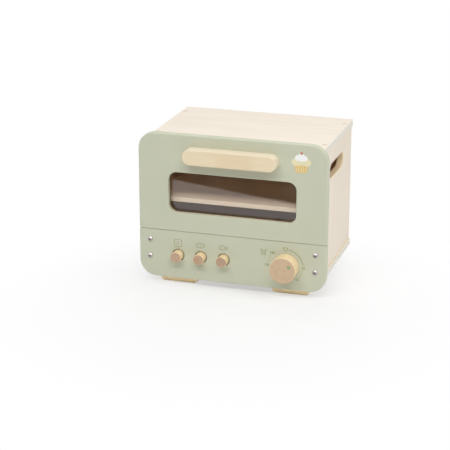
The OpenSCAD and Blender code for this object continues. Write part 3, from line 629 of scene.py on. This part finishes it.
def scallops(x, up, lobes):
    """Outline round overlapping circles (dx, dy, r), as far out as rays from (x, up) reach."""
    steps = 72
    outline = []
    for i in range(steps):
        a = 2 * math.pi * i / steps
        ux, uy = math.cos(a), math.sin(a)
        reach = 0.0
        for dx, dy, r in lobes:
            along = dx * ux + dy * uy
            off = dx * dx + dy * dy - along * along
            if off < r * r:
                reach = max(reach, along + math.sqrt(r * r - off))
        outline.append((x + reach * ux, up + reach * uy))
    return outline


def make_motif():
    """A plain printed bun in a paper case on the door's upper right."""
    cream = plain("motif_cream", srgb(238, 230, 190), 0.5, 2, 0.01)
    mustard = plain("motif_mustard", srgb(234, 198, 118), 0.5, 2, 0.01)
    white = plain("motif_white", srgb(252, 252, 250), 0.5, 2, 0.01)
    clay = plain("motif_clay", srgb(206, 150, 122), 0.5, 2, 0.01)
    x, up = MOTIF_X, MOTIF_UP
    case = Print("motif_case", mustard, thick_mm=0.1)
    case.plate([(x - 7.6, up - 14), (x + 7.6, up - 14), (x + 11, up - 1), (x - 11, up - 1)])
    case.done("door")
    pleats = Print("motif_pleats", cream, thick_mm=0.14)
    for i in range(-2, 3):
        pleats.line([(x + 3.0 * i, up - 13.4), (x + 4.2 * i, up - 1.6)], 0.9)
    pleats.done("door")
    bun = Print("motif_bun", cream, thick_mm=0.18)
    bun.plate(scallops(x, up + 1, [(-8.5, 0, 5.6), (-3, 2.2, 7.2), (4, 2.0, 7.0), (9, 0, 5.2)]))
    bun.done("door")
    icing = Print("motif_icing", white, thick_mm=0.22)
    icing.plate(scallops(x, up + 8, [(-5, -1, 4.2), (0, 1.5, 4.8), (5, -1, 4.0), (0, -2, 4.0)]))
    icing.done("door")
    berry = Print("motif_berry", clay, thick_mm=0.26)
    berry.plate(disc(x + 0.4, up + 14.2, 2.2))
    berry.done("door")


# ---------------------------------------------------------------- floor, light and camera


# The floor, and the grey on it round the object: its middle, and where it fades to white
FLOOR_HALF = 4.0
GREY_MIDDLE = (0.04, -0.16, 0)
GREY_REACH = (0.05, 0.4)

# The dark card: half its width, its depth, its distance and its height over the floor
CARD_HALF, CARD_DEPTH = 2.0, 3.0
CARD_AWAY, CARD_LIFT = 0.383, 0.001

# Turn, rise and roll in degrees, target and distance in metres, lens in mm
CAMERA_TURN, CAMERA_RISE, CAMERA_ROLL = 17.26, 18.464, 0.055
CAMERA_TARGET = Vector((-9.753, -86.7, 100.054)) * MM
CAMERA_DISTANCE = 2.23844
CAMERA_LENS = 36 * 1560.02 / 450

# The lamps' places, widths and heights in metres, and their powers in watts
ROOM_LIGHT = 0.06
SOFTBOXES = {
    "key": ((0.1, -1.55, 1.76), (2.4, 0.6), 33.0),
    "overhead": ((0.0, 0.5, 2.2), (1.2, 1.2), 10.0),
    "right_fill": ((1.7, -0.3, 1.8), (1.2, 1.2), 15.0),
    "right_low": ((2.1, 0.2, 0.7), (1.2, 1.2), 5.5),
    "left_fill": ((-2.0, -0.1, 1.2), (1.2, 1.2), 5.0),
    "back_fill": ((-0.7, 2.4, 0.4), (1.0, 1.0), 12.0),
}
LAMP_AIM = Vector((0, 0, 0.1))
FOOT_LIGHT = ((0, -0.24, 0.0048), (0.36, 0.008), 0.0023)
FOOT_SPREAD = math.radians(5)


def sheet(name, half, front, back, material):
    """A flat level rectangle for the stage, from -half to half along X."""
    mesh = bpy.data.meshes.new(name)
    corners = [(-half, front, 0), (half, front, 0), (half, back, 0), (-half, back, 0)]
    mesh.from_pydata(corners, [], [(0, 1, 2, 3)])
    mesh.materials.append(material)
    piece = bpy.data.objects.new(name, mesh)
    bpy.context.scene.collection.objects.link(piece)
    return piece


def make_floor():
    """A pale floor that fades to white away from the object, seen and mirrored alike."""
    s = Surface("floor")
    mottle = s.noise((60, 60, 60), detail=2)
    pale = s.mix(mottle, srgb(250, 250, 251), srgb(248, 248, 249))
    lit = s.node("ShaderNodeBsdfDiffuse", {"Color": pale})
    glow = s.node("ShaderNodeEmission", {"Color": (1, 1, 1, 1), "Strength": 1.0})
    rays = s.node("ShaderNodeLightPath")
    seen = s.math("MAXIMUM", rays.outputs["Is Camera Ray"], rays.outputs["Is Glossy Ray"])
    seen = s.math("MAXIMUM", seen, rays.outputs["Is Transmission Ray"])
    away = s.distance(s.place.outputs["Object"], GREY_MIDDLE)
    far = s.between(away, *GREY_REACH, 0.45, 1.0)
    mixed = s.node(
        "ShaderNodeMixShader",
        {0: s.math("MULTIPLY", seen, far), 1: lit.outputs[0], 2: glow.outputs[0]},
    )
    material = s.shade(mixed.outputs[0])
    floor = sheet("floor", FLOOR_HALF, -FLOOR_HALF, FLOOR_HALF, material)


def make_dark_card():
    """A dark card laid in front, which only mirroring surfaces show. Its near edge runs
    square to the view, CARD_AWAY from the middle of the front's foot."""
    s = Surface("dark_card")
    mottle = s.noise((80, 80, 80), detail=2)
    dark = s.mix(mottle, srgb(30, 29, 28), srgb(24, 23, 22))
    material = s.principled(base_color=dark, roughness=0.9)
    card = sheet("dark_card", CARD_HALF, -CARD_DEPTH, 0, material)
    turn = math.radians(CAMERA_TURN)
    card.rotation_euler = (0, 0, turn)
    card.location = (CARD_AWAY * math.sin(turn), FRONT_Y - CARD_AWAY * math.cos(turn), CARD_LIFT)
    for kind in ("camera", "diffuse", "shadow", "transmission"):
        setattr(card, f"visible_{kind}", False)


def make_world():
    """An even white room: full white where it is seen, and ROOM_LIGHT as light."""
    world = bpy.data.worlds.new("room")
    bpy.context.scene.world = world
    world.use_nodes = True
    tree = world.node_tree
    tree.nodes.clear()
    rays = tree.nodes.new("ShaderNodeLightPath")
    seen = None
    for name in ("Is Camera Ray", "Is Glossy Ray", "Is Transmission Ray"):
        if seen is None:
            seen = rays.outputs[name]
            continue
        either = tree.nodes.new("ShaderNodeMath")
        either.operation = "MAXIMUM"
        tree.links.new(seen, either.inputs[0])
        tree.links.new(rays.outputs[name], either.inputs[1])
        seen = either.outputs[0]
    light = tree.nodes.new("ShaderNodeBackground")
    light.inputs["Strength"].default_value = ROOM_LIGHT
    view = tree.nodes.new("ShaderNodeBackground")
    view.inputs["Strength"].default_value = 1.0
    for background in (light, view):
        background.inputs["Color"].default_value = (1, 1, 1, 1)
    mixed = tree.nodes.new("ShaderNodeMixShader")
    tree.links.new(seen, mixed.inputs[0])
    tree.links.new(light.outputs[0], mixed.inputs[1])
    tree.links.new(view.outputs[0], mixed.inputs[2])
    output = tree.nodes.new("ShaderNodeOutputWorld")
    tree.links.new(mixed.outputs[0], output.inputs["Surface"])


def make_lamp(name, place, size, power):
    """A lamp of a width and a height, which faces down until it is turned."""
    light = bpy.data.lights.new(name, "AREA")
    light.shape = "RECTANGLE"
    light.size, light.size_y = size
    light.energy = power
    lamp = bpy.data.objects.new(name, light)
    bpy.context.scene.collection.objects.link(lamp)
    lamp.location = place
    return lamp


def make_softboxes():
    """Lamps round the object that face its middle."""
    for name, (place, size, power) in SOFTBOXES.items():
        lamp = make_lamp(name, place, size, power)
        lamp.visible_glossy = name != "back_fill"
        lamp.rotation_euler = (LAMP_AIM - Vector(place)).to_track_quat("-Z", "Y").to_euler()


def make_foot_light():
    """A thin beam along the floor that reaches the fronts of the feet."""
    lamp = make_lamp("foot_light", *FOOT_LIGHT)
    lamp.data.spread = FOOT_SPREAD
    lamp.visible_camera = lamp.visible_glossy = lamp.visible_transmission = False
    lamp.rotation_euler = (math.pi / 2, 0, 0)


def make_camera():
    """The camera that saw the front from the right and from a little above."""
    turn, rise = math.radians(CAMERA_TURN), math.radians(CAMERA_RISE)
    level = math.cos(rise)
    back = Vector((math.sin(turn) * level, -math.cos(turn) * level, math.sin(rise)))
    eye = bpy.data.cameras.new("camera")
    eye.sensor_fit = "HORIZONTAL"
    eye.sensor_width = 36
    eye.lens = CAMERA_LENS
    eye.clip_start, eye.clip_end = 0.05, 50
    camera = bpy.data.objects.new("camera", eye)
    bpy.context.scene.collection.objects.link(camera)
    aim = (-back).to_track_quat("-Z", "Y").to_matrix().to_4x4()
    camera.matrix_world = (
        Matrix.Translation(CAMERA_TARGET + back * CAMERA_DISTANCE)
        @ aim
        @ Matrix.Rotation(math.radians(CAMERA_ROLL), 4, "Z")
    )
    bpy.context.scene.camera = camera


# ---------------------------------------------------------------- the scene

make_camera()
dress_all()
ink = plain("print_green", srgb(148, 158, 106), 0.55, 2, 0.01)
make_button_marks(ink)
make_dial_marks(ink)
for text, x, up in NUMBERS:
    make_number(text, x, up, ink)
make_dial_dot()
make_motif()
make_floor()
make_dark_card()
make_world()
make_softboxes()
make_foot_light()
bpy.context.scene.view_settings.view_transform = "Standard"
